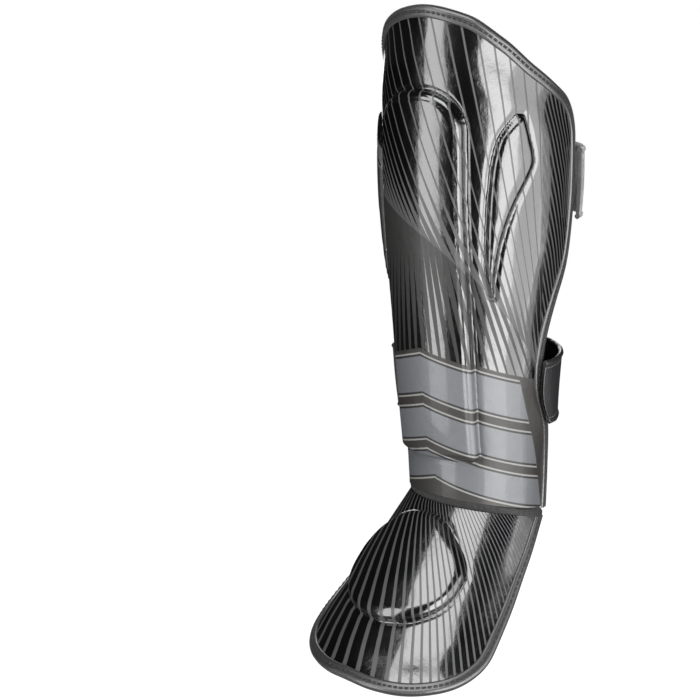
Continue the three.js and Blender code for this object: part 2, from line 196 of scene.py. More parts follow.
def shell_pattern(across, up):
    """The shell's flat outline, from a square: rounded top corners and a waist in its rear edges."""
    corner = (TOP_CORNER / CALF_RADIUS / WIDEST_WRAP, 2 * TOP_CORNER / SHIN_LENGTH)
    wide, high = round_corners(across, up, *corner)
    wide, high = np.where(up > 0, wide, across), np.where(up > 0, high, up)
    share = (high + 1) / 2
    angle = wide * WIDEST_WRAP * eased(SHELL_HEIGHTS, SHELL_WRAPS, share)
    y = hem_height(angle) * (1 - share) + top_height(angle) * share
    return angle * shell_radius(y), y


def lengths_along(line):
    """How far along a line of flat points each of them lies."""
    return np.concatenate(([0], np.cumsum(np.linalg.norm(np.diff(line, axis=0), axis=1))))


def edge_of(pattern, steps, closed=False):
    """The outline of a flat pattern: up its left side, across the top and down the right."""
    run = np.linspace(-1, 1, steps)
    one = np.ones(steps)
    sides = [(-one, run), (run, one), (one, -run)]
    if closed:
        sides.append((-run, -one))
    points = np.concatenate([np.stack(pattern(a, b), -1)[:-1] for a, b in sides])
    end = pattern(*[np.array([value]) for value in ((-1, -1) if closed else (1, -1))])
    points = np.concatenate((points, np.stack(end, -1)))
    length = lengths_along(points)
    even = np.linspace(0, length[-1], int(length[-1] / OUTLINE_SPACING))
    return np.stack((np.interp(even, length, points[:, 0]), np.interp(even, length, points[:, 1])), -1)


def distance_to(line, x, y):
    """How far flat points lie from a line of flat points."""
    nearest = np.full(x.shape, 1e9)
    for start, end in zip(line[:-1], line[1:]):
        run = end - start
        part = np.clip(((x - start[0]) * run[0] + (y - start[1]) * run[1]) / (run @ run + 1e-12), 0, 1)
        gap = (x - start[0] - part * run[0]) ** 2 + (y - start[1] - part * run[1]) ** 2
        nearest = np.minimum(nearest, gap)
    return np.sqrt(nearest)


def ease(value, low, high):
    """A smooth rise from 0 at a low value to 1 at a high one."""
    part = np.clip((value - low) / (high - low), 0, 1)
    return part * part * (3 - 2 * part)


def sheet_of(name, columns, rows, place, inward=False):
    """A sheet of cover cut as a fine grid and laid in place, with its flat pattern kept as a UV map."""
    form = bmesh.new()
    bmesh.ops.create_grid(form, x_segments=columns, y_segments=rows, size=1)
    if inward:
        bmesh.ops.reverse_faces(form, faces=form.faces)
    mesh = bpy.data.meshes.new(name)
    form.to_mesh(mesh)
    form.free()
    square = np.empty(len(mesh.vertices) * 3)
    mesh.vertices.foreach_get("co", square)
    square = square.reshape(-1, 3)
    points, pattern = place(square[:, 0], square[:, 1])
    mesh.vertices.foreach_set("co", points.ravel())
    corners = np.empty(len(mesh.loops), dtype=np.int32)
    mesh.loops.foreach_get("vertex_index", corners)
    mesh.uv_layers.new(name="pattern").data.foreach_set("uv", (pattern / 1000)[corners].ravel())
    mesh.polygons.foreach_set("use_smooth", np.ones(len(mesh.polygons), dtype=bool))
    mesh.update()
    sheet = bpy.data.objects.new(name, mesh)
    bpy.context.scene.collection.objects.link(sheet)
    return sheet


# The bar and the leaves: how wide, how high they stand, how round their sides are, and the pressed lines on
# and beside them, each as how far inside the outline it runs, how wide it is and how deep.
SHELL_EDGE = edge_of(shell_pattern, 160)
EDGE_SUNK, EDGE_FLAT, EDGE_RISEN = 2.5, 6.5, 36.5
BAR_MIDDLE, BAR_HALF_LENGTH, BAR_HALF_WIDTH = 160.0, 131.0, 35.5
BAR_TOP_CORNER, BAR_FOOT_CORNER = 29.0, 6.0
BAR_RISE, BAR_SIDE, BAR_CROWN = 6.6, 8.0, 0.9
BAR_SEAM, BAR_GROOVE = (5.2, 0.9, 0.45), (-1.2, 1.6, 1.0)
LEAF_FOOT, LEAF_LENGTH, LEAF_WIDTH, LEAF_PLACE = 151.0, 123.0, 35.5, 47.5
LEAF_ALONG = (0.0, 0.11, 0.34, 0.52, 0.67, 0.75, 0.88, 0.96, 1.0)
LEAF_NEAR = (0.07, 0.0, 0.03, 0.08, 0.13, 0.17, 0.3, 0.5, 0.65)
LEAF_FAR = (0.12, 0.16, 0.35, 0.6, 0.89, 1.0, 0.91, 0.83, 0.78)
LEAF_RISE, LEAF_SIDE = 4.0, 8.5
LEAF_SEAM, LEAF_GROOVE = (6.0, 0.9, 0.15), (-1.0, 1.9, 1.2)


def inside_bar(x, y):
    """Depth inside the bar's outline: wide round corners on top, tight ones at its foot."""
    corner = np.where(y > BAR_MIDDLE, BAR_TOP_CORNER, BAR_FOOT_CORNER)
    a = np.abs(x) - BAR_HALF_WIDTH + corner
    b = np.abs(y - BAR_MIDDLE) - BAR_HALF_LENGTH + corner
    outside = np.hypot(np.maximum(a, 0), np.maximum(b, 0)) + np.minimum(np.maximum(a, b), 0)
    return corner - outside


def leaf_sides(row):
    """The leaf's side near the bar and its side away from it, at a share of its length."""
    near = LEAF_PLACE + LEAF_WIDTH * eased(LEAF_ALONG, LEAF_NEAR, row)
    return near, LEAF_PLACE + LEAF_WIDTH * eased(LEAF_ALONG, LEAF_FAR, row)


leaf_rows = np.linspace(0, 1, 60)
leaf_heights = LEAF_FOOT + LEAF_LENGTH * leaf_rows
near_side, far_side = [np.stack((side, leaf_heights), -1) for side in leaf_sides(leaf_rows)]
LEAF_OUTLINE = np.concatenate((near_side, far_side[::-1], near_side[:1]))


def inside_leaf(x, y):
    """Depth inside the leaf's outline, on either side of the shin."""
    x = np.abs(x)
    row = (y - LEAF_FOOT) / LEAF_LENGTH
    near, far = leaf_sides(row)
    within = (row > 0) & (row < 1) & (x > near) & (x < far)
    return np.where(within, 1, -1) * distance_to(LEAF_OUTLINE, x, y)


def pillow(depth, height, rounding):
    """A pad under a tight cover: a steep side that rounds off into its top."""
    part = np.clip(depth / rounding, 0, 1)
    return np.where(depth > 0, height * np.sqrt(1 - (1 - part) ** 2.2), 0)


def pressed(depth, at, width, deep):
    """A pressed line that follows an outline."""
    return deep * np.exp(-(((depth - at) / width) ** 2))


def shell_relief(x, y):
    """How far the pressed cover stands off the shell's plain face."""
    edge = distance_to(SHELL_EDGE, x, y)
    bar, leaf = inside_bar(x, y), inside_leaf(x, y)
    lift = -EDGE_SUNK * (1 - ease(edge, EDGE_FLAT, EDGE_RISEN))
    lift = lift + pillow(bar, BAR_RISE, BAR_SIDE) + BAR_CROWN * ease(bar, 4, 34)
    lift = lift + pillow(leaf, LEAF_RISE, LEAF_SIDE)
    for depth, line in ((bar, BAR_SEAM), (bar, BAR_GROOVE), (leaf, LEAF_SEAM), (leaf, LEAF_GROOVE)):
        lift = lift - pressed(depth, *line)
    # The cover is a little uneven, more so beside the tape and round the right side of the leg.
    ripple = np.sin(x / 9.1 + 1.3 * np.sin(y / 23)) * np.sin(y / 13.7 + 0.8) + 0.6 * np.sin(x / 5.3 - y / 17)
    tugged = 0.16 * (1 - ease(edge, 9, 36)) + 0.08 * ease(x, 60, 95)
    return lift + (0.07 + tugged) * ripple


def lay_shell(across, up):
    x, y = shell_pattern(across, up)
    return raised(on_shell, x, y, shell_relief(x, y)), np.stack((x, y), -1)


shin_cover = sheet_of("shin_cover", 210, 400, lay_shell)
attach(shin_cover, "root")
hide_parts("shin_shell", "shin_bar_pad", "side_pad_left", "side_pad_right")


class Amount:
    """A number worked out at every point of a surface by the shader. It adds and multiplies as numbers do."""

    def __init__(self, tree, socket):
        self.tree, self.socket = tree, socket

    def step(self, how, *others, clamp=False):
        node = self.tree.nodes.new("ShaderNodeMath")
        node.operation, node.use_clamp = how, clamp
        for place, part in enumerate((self, *others)):
            if isinstance(part, Amount):
                self.tree.links.new(part.socket, node.inputs[place])
            else:
                node.inputs[place].default_value = part
        return Amount(self.tree, node.outputs[0])

    def __add__(self, other):
        return self.step("ADD", other)

    def __sub__(self, other):
        return self.step("SUBTRACT", other)

    def __rsub__(self, other):
        return self * -1.0 + other

    def __mul__(self, other):
        return self.step("MULTIPLY", other)

    def __truediv__(self, other):
        return self.step("DIVIDE", other)

    def size(self):
        return self.step("ABSOLUTE")

    def wave(self):
        return self.step("SINE")

    def at_least(self, limit):
        return self.step("MAXIMUM", limit)

    def at_most(self, limit):
        return self.step("MINIMUM", limit)

    def off_line(self):
        """How far it is from the nearest whole number, where the printed lines run."""
        return 0.5 - (self.step("FRACT") - 0.5).size()

    def above(self, limit, soft):
        """1 over a limit and 0 under it, with a soft edge as wide as screen print leaves."""
        return ((self - limit) / soft).step("ADD", 0.5, clamp=True)

    def within(self, middle, half, soft):
        """1 within a half width of a middle, 0 beyond it."""
        return (half - (self - middle).size()).above(0.0, soft)


def pattern_of(finish):
    """A material's nodes, its main shader, and its flat pattern's x and y in millimetres."""
    finish.use_nodes = True
    tree = finish.node_tree
    pattern = tree.nodes.new("ShaderNodeUVMap")
    pattern.uv_map = "pattern"
    parts = tree.nodes.new("ShaderNodeSeparateXYZ")
    tree.links.new(pattern.outputs[0], parts.inputs[0])
    flat = [Amount(tree, parts.outputs[place]) * 1000.0 for place in (0, 1)]
    return tree, tree.nodes["Principled BSDF"], *flat


def inked(under, over, mask):
    """One colour over another through a mask."""
    tree = mask.tree
    node = tree.nodes.new("ShaderNodeMix")
    node.data_type = "RGBA"
    tree.links.new(mask.socket, node.inputs[0])
    for place, colour in ((6, under), (7, over)):
        if isinstance(colour, tuple):
            node.inputs[place].default_value = (*colour, 1)
        else:
            tree.links.new(colour, node.inputs[place])
    return node.outputs[2]


def mottle(tree, scale, detail=3, stretch=(1, 1, 1)):
    """Even noise on the object's own coordinates, from 0 to 1."""
    where = tree.nodes.new("ShaderNodeTexCoord")
    turn = tree.nodes.new("ShaderNodeMapping")
    turn.inputs["Scale"].default_value = stretch
    noise = tree.nodes.new("ShaderNodeTexNoise")
    noise.inputs["Scale"].default_value = scale
    noise.inputs["Detail"].default_value = detail
    tree.links.new(where.outputs["Object"], turn.inputs["Vector"])
    tree.links.new(turn.outputs["Vector"], noise.inputs["Vector"])
    return Amount(tree, noise.outputs[0])


def embossed(shader, heights, depth):
    """Raises a surface's shading by a height map, with depth in metres."""
    tree = heights.tree
    bump = tree.nodes.new("ShaderNodeBump")
    bump.inputs["Distance"].default_value = depth
    tree.links.new(heights.socket, bump.inputs["Height"])
    tree.links.new(bump.outputs[0], shader.inputs["Normal"])


def leather_finish(tree, shader, colour, ink):
    """Glossy coated leather: a faint grain, dull handling marks and a clear coat, which matt ink covers."""
    tree.links.new(colour, shader.inputs["Base Color"])
    marks = mottle(tree, 34, 5, (1, 1, 0.45))
    tree.links.new((marks * 0.14 + 0.13 + ink * 0.34).socket, shader.inputs["Roughness"])
    tree.links.new((0.9 - ink * 0.82).socket, shader.inputs["Coat Weight"])
    shader.inputs["Coat Roughness"].default_value = 0.08
    cells = tree.nodes.new("ShaderNodeTexVoronoi")
    cells.inputs["Scale"].default_value = 900
    where = tree.nodes.new("ShaderNodeTexCoord")
    tree.links.new(where.outputs["Object"], cells.inputs["Vector"])
    grain = Amount(tree, cells.outputs["Distance"])
    embossed(shader, grain * 0.08 + mottle(tree, 120) * 0.6 + marks * 1.2, 0.0006)


# The print on the shell: a fan of grey lines that meet at the hem's right rear and stand one pitch apart at
# the height of the top edge, thicker towards the fan's foot. Finer slanted lines run behind the leaves, and
# black lines on matt grey lower down.
BLACK, LINE_GREY = (0.0008, 0.0008, 0.001), (0.032, 0.032, 0.033)
ZONE_GREY, BROWN_GREY = (0.0075, 0.0073, 0.007), (0.0125, 0.011, 0.0095)
PALE_EDGE, DARK_EDGE, STEEL = (0.145, 0.143, 0.136), (0.003, 0.003, 0.0035), (0.074, 0.077, 0.083)
FAN_X, FAN_Y, FAN_START, FAN_PITCH = 100.0, -2.0, -33.0, 10.6
FAN_FOOT, FAN_FADE, FAN_THICK = 200.0, 64.0, 0.43
FOOT_SLOPE, FOOT_CURVE = 0.64, 0.0068
LEFT_CROWD_FROM, LEFT_CROWD_REACH, LEFT_CROWD = 40.0, 60.0, 0.0011
REAR_FROM, REAR_SLANT, REAR_PITCH, REAR_THICK, LINE_THICK = 90.0, 0.3, 4.1, 0.13, 0.07
LOW_FAN_MEETS, LOW_FAN_LINES, LOW_FAN_TOP, LOW_FAN_THICK = 330.0, 38.0, 182.0, 0.0045

shin_print = bpy.data.materials.new("printed_leather_shin")
tree, shader, x, y = pattern_of(shin_print)
at_top = (x - FAN_X) / (y - FAN_Y) * (SHIN_LENGTH - FAN_Y) + FAN_X
crowd = (-LEFT_CROWD_FROM - at_top).at_least(0.0).at_most(LEFT_CROWD_REACH)
ray = (at_top - FAN_START) / FAN_PITCH - crowd * crowd * LEFT_CROWD
rear = x.size().above(REAR_FROM, 0.8)
ray = ray * (1.0 - rear) + (x.size() + y * REAR_SLANT) / REAR_PITCH * rear
border = y - FAN_FOOT + x * FOOT_SLOPE + x.at_least(0.0) * x * FOOT_CURVE
thin = 1.0 - (border / FAN_FADE).at_least(0.0).at_most(1.0)
thick = thin * thin * thin * FAN_THICK * (1.0 - rear) + rear * REAR_THICK + LINE_THICK
fan = (thick - ray.off_line()).above(0.0, 0.04)
above = border.above(0.0, 1.0)
low_ray = x / (LOW_FAN_MEETS - y) * LOW_FAN_LINES
low_fan = ((LOW_FAN_TOP - y).at_least(0.0) * LOW_FAN_THICK - low_ray.off_line()).above(0.0, 0.06)
colour = inked(inked(ZONE_GREY, BLACK, low_fan), inked(BLACK, LINE_GREY, fan), above)
matt = (1.0 - low_fan) * (1.0 - above) + fan * above

# Lower down, three chevrons in satin steel with a pale and a dark outline stand on matt brown grey. Each is a
# height up the front and how deep the chevron is there.
CHEVRONS = ((95.0, 32.0), (59.0, 28.0), (26.0, 26.0))
CHEVRON_SLOPE, CHEVRON_REACH, CHEVRON_TAPER = 0.32, 88.0, 0.22
PALE_LINE, DARK_LINE, STEEL_GLOSS = 1.3, 1.6, 0.22
GROUND_TOP = 114.0
peak = x.size() * CHEVRON_SLOPE + y
ground = 1.0 - peak.above(GROUND_TOP, 0.8)
colour = inked(colour, BROWN_GREY, ground)
ends = (CHEVRON_REACH - x.size() - y * CHEVRON_TAPER).above(0.0, 0.7)
ink = matt.at_least(ground)
for middle, deep in CHEVRONS:
    for inset, shade in ((0.0, PALE_EDGE), (PALE_LINE, DARK_EDGE), (PALE_LINE + DARK_LINE, STEEL)):
        band = peak.within(middle, deep / 2 - inset, 0.5) * ends
        colour = inked(colour, shade, band)
    ink = ink - band * STEEL_GLOSS
leather_finish(tree, shader, colour, ink)
shin_cover.data.materials.append(shin_print)

# The lining: a smooth black lining cloth on the shell's inner face, over foam that thins towards the hem.
# It is turned under the tape at its edges, where the foam is pressed flat.
SHELL_FOAM, SHELL_EDGE_FOAM = 15.0, 8.5
SHELL_FOAMS = (0.75, 0.76, 0.8, 0.88, 0.96, 1.0, 1.0, 1.0, 1.0)
LINING_FLAT = 9.5
LINING_WIDE, LINING_HIGH = 0.985, 0.99


def lay_lining(across, up):
    x, y = shell_pattern(across * LINING_WIDE, up * LINING_HIGH)
    share = ease(distance_to(SHELL_EDGE, x, y), LINING_FLAT, EDGE_RISEN)
    foam = SHELL_FOAM * eased(SHELL_HEIGHTS, SHELL_FOAMS, y / SHIN_LENGTH)
    puffed = 0.15 * np.sin(x / 7.0) * np.sin(y / 11.0)
    depth = SHELL_EDGE_FOAM * (1 - share) + foam * share
    return raised(on_shell, x, y, puffed - depth), np.stack((x, y), -1)


def flat_area(pattern):
    """The area in square metres that a flat pattern covers."""
    outline = edge_of(pattern, 200, closed=True)
    wide, tall = outline[:, 0], outline[:, 1]
    return abs(np.sum(wide[:-1] * tall[1:] - wide[1:] * tall[:-1])) / 2e6


lining_cloth = bpy.data.materials.new("lining_cloth")
tree, shader, x, y = pattern_of(lining_cloth)
weave = (x * 2.1).wave() * (y * 2.1).wave()
lining_colour = inked((0.012, 0.012, 0.013), (0.03, 0.03, 0.032), weave.above(0.0, 1.2))
tree.links.new(lining_colour, shader.inputs["Base Color"])
tree.links.new((mottle(tree, 60) * 0.2 + 0.62).socket, shader.inputs["Roughness"])
shader.inputs["Sheen Weight"].default_value = 0.35
embossed(shader, weave * 0.5 + mottle(tree, 90) * 2.0, 0.0003)

shin_lining = sheet_of("shin_lining", 90, 150, lay_lining, inward=True)
shin_lining.data.materials.append(lining_cloth)
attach(shin_lining, "root")
0.97 * flat_area(shell_pattern)

# The tape: woven tape folded round the shell's edge and sewn through with one row of stitches. It starts and
# ends at the hem, where the fold of cloth takes over. Its section is how far in from the edge, how far up off
# the face, and how far round the tape each point lies.
FRONT_INSETS = (6.9, 6.7, 5.8, 4.3, 3.0, 1.7, 0.4, -0.6, -1.4, -1.75)
FRONT_LEVELS = (-2.9, -1.9, -1.5, -1.35, -1.6, -1.35, -1.5, -2.1, -3.3, -4.8)
FRONT_ROUND = (0, 1, 2, 3.5, 4.8, 6.1, 7.4, 8.5, 9.9, 11.5)
BACK_ROUND = (12.9, 14.4, 15.8, 17, 18.3, 19.6, 20.9, 22.4, 23.4, 24.4)
FRONT_TO_BACK = 11.0
TAPE_INSETS = FRONT_INSETS + FRONT_INSETS[::-1]
TAPE_LEVELS = FRONT_LEVELS + tuple(-FRONT_TO_BACK - level for level in FRONT_LEVELS[::-1])
TAPE_ROUND = FRONT_ROUND + BACK_ROUND
SEAMS = (4.8, 19.6)
STITCH_START, STITCH_PITCH, STITCH_LENGTH, STITCH_INSET = 3.0, 4.0, 2.6, 3.0
THREAD_TIP, THREAD_SWELL, THREAD_SIDES = 0.2, 0.38, 6


def swept(name, rings, patterns, closed=False):
    """A sheet through rings of points, with its flat pattern as a UV map. Closed joins each ring up."""
    form = bmesh.new()
    rows = [[form.verts.new(point) for point in ring] for ring in rings]
    flat = form.loops.layers.uv.new("pattern")
    count = len(rows[0])
    for i in range(len(rows) - 1):
        for j in range(count if closed else count - 1):
            around = (j + 1) % count
            face = form.faces.new((rows[i][j], rows[i + 1][j], rows[i + 1][around], rows[i][around]))
            face.smooth = True
            places = ((i, j), (i + 1, j), (i + 1, j + 1), (i, j + 1))
            for corner, (step, side) in zip(face.loops, places):
                corner[flat].uv = patterns[step][side]
    if closed:
        form.faces.new(rows[0])
        form.faces.new(rows[-1][::-1])
    mesh = bpy.data.meshes.new(name)
    form.to_mesh(mesh)
    form.free()
    piece = bpy.data.objects.new(name, mesh)
    bpy.context.scene.collection.objects.link(piece)
    return piece


def inward_of(line):
    """The flat direction square to a line of flat points, towards its right."""
    run = np.gradient(line, axis=0)
    run /= np.linalg.norm(run, axis=1, keepdims=True)
    return np.stack((run[:, 1], -run[:, 0]), -1)


def taped(name, face, line, levels):
    """Tape folded round an edge, with how far up off the face its section's points lie."""
    rings, patterns = [], []
    for place, square, along in zip(line, inward_of(line), lengths_along(line)):
        wobble = 0.12 * math.sin(along / 17) + 0.08 * math.sin(along / 5.3)
        spots = place + square * (np.array(TAPE_INSETS)[:, None] + wobble)
        rings.append(raised(face, spots[:, 0], spots[:, 1], levels))
        patterns.append([(along / 1000, around / 1000) for around in TAPE_ROUND])
    return swept(name, rings, patterns)


def stitches(name, face, line, front, back):
    """A row of stitches on the tape's front and one on its back, each at its level off the face."""
    length = lengths_along(line)
    seam = line + inward_of(line) * STITCH_INSET
    turns = np.arange(THREAD_SIDES) * 2 * math.pi / THREAD_SIDES
    form = bmesh.new()
    for level in (front + 0.1, back - 0.1):
        for start in np.arange(STITCH_START, length[-1] - 4, STITCH_PITCH):
            ends = (start, start + STITCH_LENGTH)
            first, last = np.stack([np.interp(ends, length, seam[:, k]) for k in (0, 1)], -1)
            run = (last - first) / np.linalg.norm(last - first)
            rings = []
            for part in np.linspace(0, 1, 5):
                swell = THREAD_TIP + THREAD_SWELL * math.sin(math.pi * (0.08 + 0.84 * part))
                spot = first + (last - first) * part
                off, up = swell * np.cos(turns), swell * np.sin(turns)
                made = raised(face, spot[0] + run[1] * off, spot[1] - run[0] * off, level + up)
                rings.append([form.verts.new(point) for point in made])
            for before, now in zip(rings[:-1], rings[1:]):
                for j in range(THREAD_SIDES):
                    near = (j + 1) % THREAD_SIDES
                    form.faces.new((before[j], now[j], now[near], before[near])).smooth = True
    mesh = bpy.data.meshes.new(name)
    form.to_mesh(mesh)
    form.free()
    thread = bpy.data.objects.new(name, mesh)
    bpy.context.scene.collection.objects.link(thread)
    return thread


tape_weave = bpy.data.materials.new("woven_tape")
tree, shader, x, y = pattern_of(tape_weave)
ribs = (x * 7.0).wave()
edge_band = 1.0 - y.within(TAPE_ROUND[-1] / 2, 10.6, 0.4)
worn = mottle(tree, 55, 4)
tape_colour = inked((0.005, 0.0049, 0.0047), (0.012, 0.0117, 0.0113), ribs * 0.5 + 0.5)
tape_colour = inked(tape_colour, (0.04, 0.039, 0.037), edge_band * 0.6)
tape_colour = inked(tape_colour, (0.004, 0.0039, 0.0037), worn.above(0.56, 0.2) * 0.5)
front_seam, back_seam = [y.within(place, 0.8, 0.4) for place in SEAMS]
seam = front_seam.at_least(back_seam)
# Under each stitch the thread pulls the tape into a dimple. The dimple is bumped in, rougher and less coated,
# and its colour is painted near black as painted shade in the dimple.
stitch_dimples_and_painted_shade = seam * (1.0 - ((x - STITCH_START + 0.3) / STITCH_PITCH).step("FRACT").above(0.76, 0.06))
tape_colour = inked(tape_colour, (0.0015, 0.0015, 0.0015), stitch_dimples_and_painted_shade)
tree.links.new(tape_colour, shader.inputs["Base Color"])
tree.links.new((worn * 0.2 + 0.26 + stitch_dimples_and_painted_shade * 0.4).socket, shader.inputs["Roughness"])
tree.links.new((worn * 0.3 + 0.65 - stitch_dimples_and_painted_shade * 0.9).socket, shader.inputs["Coat Weight"])
shader.inputs["Coat Roughness"].default_value = 0.26
shader.inputs["Sheen Weight"].default_value = 0.1
embossed(shader, ribs * 0.35 + (y * 9.0).wave() * 0.12 - seam * 2.2 - stitch_dimples_and_painted_shade * 1.2, 0.00012)

thread_finish = bpy.data.materials.new("sewing_thread")
thread_finish.use_nodes = True
tree = thread_finish.node_tree
shader = tree.nodes["Principled BSDF"]
twist = mottle(tree, 1500, 2)
tree.links.new(inked((0.002, 0.002, 0.002), (0.01, 0.01, 0.01), twist), shader.inputs["Base Color"])
tree.links.new((twist * 0.2 + 0.45).socket, shader.inputs["Roughness"])

shin_tape = taped("shin_tape", on_shell, SHELL_EDGE, TAPE_LEVELS)
shin_tape.data.materials.append(tape_weave)
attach(shin_tape, "root")
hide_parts("shin_binding")
shin_stitches = stitches("shin_stitches", on_shell, SHELL_EDGE, front=-1.6, back=-9.4)
shin_stitches.data.materials.append(thread_finish)
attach(shin_stitches, "root")

# The fold: a band of plain cloth that joins the shell to the flap and bends as the ankle does. It is sewn
# under both edges and a little gathered round the front of the ankle. The flap that it ends on is measured
# here too: its pattern lies flat, with y 0 at the ankle and falling to the toe.
FLAP_LENGTH = 142.0
FLAP_SLOPE = math.radians(44)
FLAP_DOWN = (0.0, 0.12, 0.3, 0.5, 0.73, 1.0)
FLAP_RADII = (58, 63, 73, 87, 106, 126)
FLAP_TILTS = (12, 15, 22, 29, 34, 36)
ANKLE_RADIUS = CALF_RADIUS * SHELL_RADII[0]
ANKLE_FRONT = (4.0 - ANKLE_RADIUS, -7.7)
FOLD_WRAP, FLAP_REACH, FOLD_TUCK = math.radians(95), 84.0, 0.35
FOLD_DOWN = (-0.2, -0.1, 0.02, 0.15, 0.35, 0.55, 0.75, 0.95, 1.15, 1.5, 1.6, 1.3, 0.8, 0.5, 0.2, 0.0, -0.2)
FOLD_OUT = (-3.6, -3.0, -1.9, -1.1, -0.7, -0.7, -0.8, -0.9, -1.1, -1.9, -4, -6, -6.9, -7.2, -7.0, -6.2, -5.0)
FOLD_STEP = 1.3


def on_flap(x, y):
    """Where a point of the flap's flat pattern lies over the foot."""
    down = -y / FLAP_LENGTH
    radius = eased(FLAP_DOWN, FLAP_RADII, down)
    tilt = np.radians(eased(FLAP_DOWN, FLAP_TILTS, down))
    angle = x / radius
    back = radius * (1 - np.cos(angle))
    depth = ANKLE_FRONT[0] + y * math.cos(FLAP_SLOPE) + back * np.cos(tilt)
    height = ANKLE_FRONT[1] + y * math.sin(FLAP_SLOPE) - back * np.sin(tilt)
    return np.stack((radius * np.sin(angle), depth, height), -1)


down, out = np.array(FOLD_DOWN), np.array(FOLD_OUT)
rings, patterns = [], []
for share in np.linspace(-1, 1, 260):
    angle = share * FOLD_WRAP
    outward = np.array((math.sin(angle), -math.cos(angle), 0))
    upper = outward * ANKLE_RADIUS + (0, 0, hem_height(angle) - FOLD_TUCK)
    lower = on_flap(share * FLAP_REACH, 0.0) + (0, 0, FOLD_TUCK)
    gather = 0.3 * math.sin(angle * 61 + 2 * math.sin(angle * 9)) + 0.2 * math.sin(angle * 27)
    swell = np.where(out > -1, gather * np.sin(math.pi * down), 0)
    ring = upper + np.outer(down, lower - upper) + np.outer(out + swell, outward)
    rings.append((ring - SEAT) / 1000)
    patterns.append([(angle * ANKLE_RADIUS / 1000, step * FOLD_STEP / 1000) for step in range(len(ring) + 1)])
ankle_fold = swept("ankle_fold", rings, patterns, closed=True)

fold_cloth = bpy.data.materials.new("fold_cloth")
tree, shader, x, y = pattern_of(fold_cloth)
twill = ((x + y) * 5.0).wave()
# The fold's cloth is coloured much darker than it is, as painted shade: it lies in deep shade under the
# shell's hem.
fold_weave_with_painted_shade = inked((0.0035, 0.0034, 0.0034), (0.009, 0.0088, 0.0086), twill * 0.5 + 0.5)
tree.links.new(fold_weave_with_painted_shade, shader.inputs["Base Color"])
tree.links.new((mottle(tree, 80) * 0.2 + 0.6).socket, shader.inputs["Roughness"])
shader.inputs["Sheen Weight"].default_value = 0.08
embossed(shader, twill * 0.3 + mottle(tree, 200) * 1.5, 0.0002)
ankle_fold.data.materials.append(fold_cloth)
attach(ankle_fold, "root")
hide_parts("ankle_hinge")

# The instep flap: thinner foam under the same glossy cover, which flares out over the top of the foot. An
# egg-shaped pad stands up from its middle. Its print is a fan of grey stripes that widens to the toe.
FLAP_HALF_WIDTH = 86.0
FLAP_HALVES = (0.98, 0.995, 1.0, 1.01, 1.01, 0.995)
FLAP_EDGE_SUNK, FLAP_EDGE_RISEN = 1.5, 28.5
TOE_ROUND = (0.85, 0.72)
EGG_TOP, EGG_LENGTH, EGG_HALF_WIDTH, EGG_ASIDE = -9.0, 88.0, 51.0, -5.0
EGG_ALONG = (0.0, 0.1, 0.2, 0.32, 0.45, 0.56, 0.72, 0.87, 1.0)
EGG_HALVES = (0.4, 0.64, 0.84, 0.96, 1.0, 0.98, 0.8, 0.51, 0.28)
EGG_ROUND = (0.8, 0.2)
EGG_RISE, EGG_SIDE, EGG_CROWN = 7.0, 9.0, 1.2
EGG_GROOVE = (-1.2, 1.8, 0.7)


def flap_pattern(across, up):
    """The flap's flat outline, from a square: straight at the ankle and round at the toe."""
    wide, high = round_corners(across, up, *TOE_ROUND)
    wide, high = np.where(up < 0, wide, across), np.where(up < 0, high, up)
    down = (1 - high) / 2
    return wide * FLAP_HALF_WIDTH * eased(FLAP_DOWN, FLAP_HALVES, down), -down * FLAP_LENGTH


def flap_turned(across, up):
    """The same outline turned half round, so that its edge runs under the toe."""
    return flap_pattern(-across, -up)


def egg_pattern(across, up):
    wide, high = round_corners(across, up, *EGG_ROUND)
    half = EGG_HALF_WIDTH * eased(EGG_ALONG, EGG_HALVES, (high + 1) / 2)
    return EGG_ASIDE + wide * half, EGG_TOP - (1 - high) / 2 * EGG_LENGTH


FLAP_EDGE = edge_of(flap_turned, 160)
EGG_OUTLINE = edge_of(egg_pattern, 60, closed=True)


def inside_egg(x, y):
    """Depth inside the egg's outline."""
    turns = np.zeros(x.shape)
    for start, end in zip(EGG_OUTLINE[:-1], EGG_OUTLINE[1:]):
        crosses = (start[1] > y) != (end[1] > y)
        at = start[0] + (y - start[1]) / (end[1] - start[1] + 1e-9) * (end[0] - start[0])
        turns += crosses & (x < at)
    return np.where(turns % 2 == 1, 1, -1) * distance_to(EGG_OUTLINE, x, y)


def lay_flap(across, up):
    x, y = flap_pattern(across, up)
    edge, egg = distance_to(FLAP_EDGE, x, y), inside_egg(x, y)
    lift = -FLAP_EDGE_SUNK * (1 - ease(edge, EDGE_FLAT, FLAP_EDGE_RISEN))
    lift = lift + pillow(egg, EGG_RISE, EGG_SIDE) + EGG_CROWN * ease(egg, 3, 34) - pressed(egg, *EGG_GROOVE)
    ripple = np.sin(x / 8.3 + 1.2 * np.sin(y / 19)) * np.sin(y / 12.1 + 0.4)
    return raised(on_flap, x, y, lift + 0.1 * ripple), np.stack((x, y), -1)


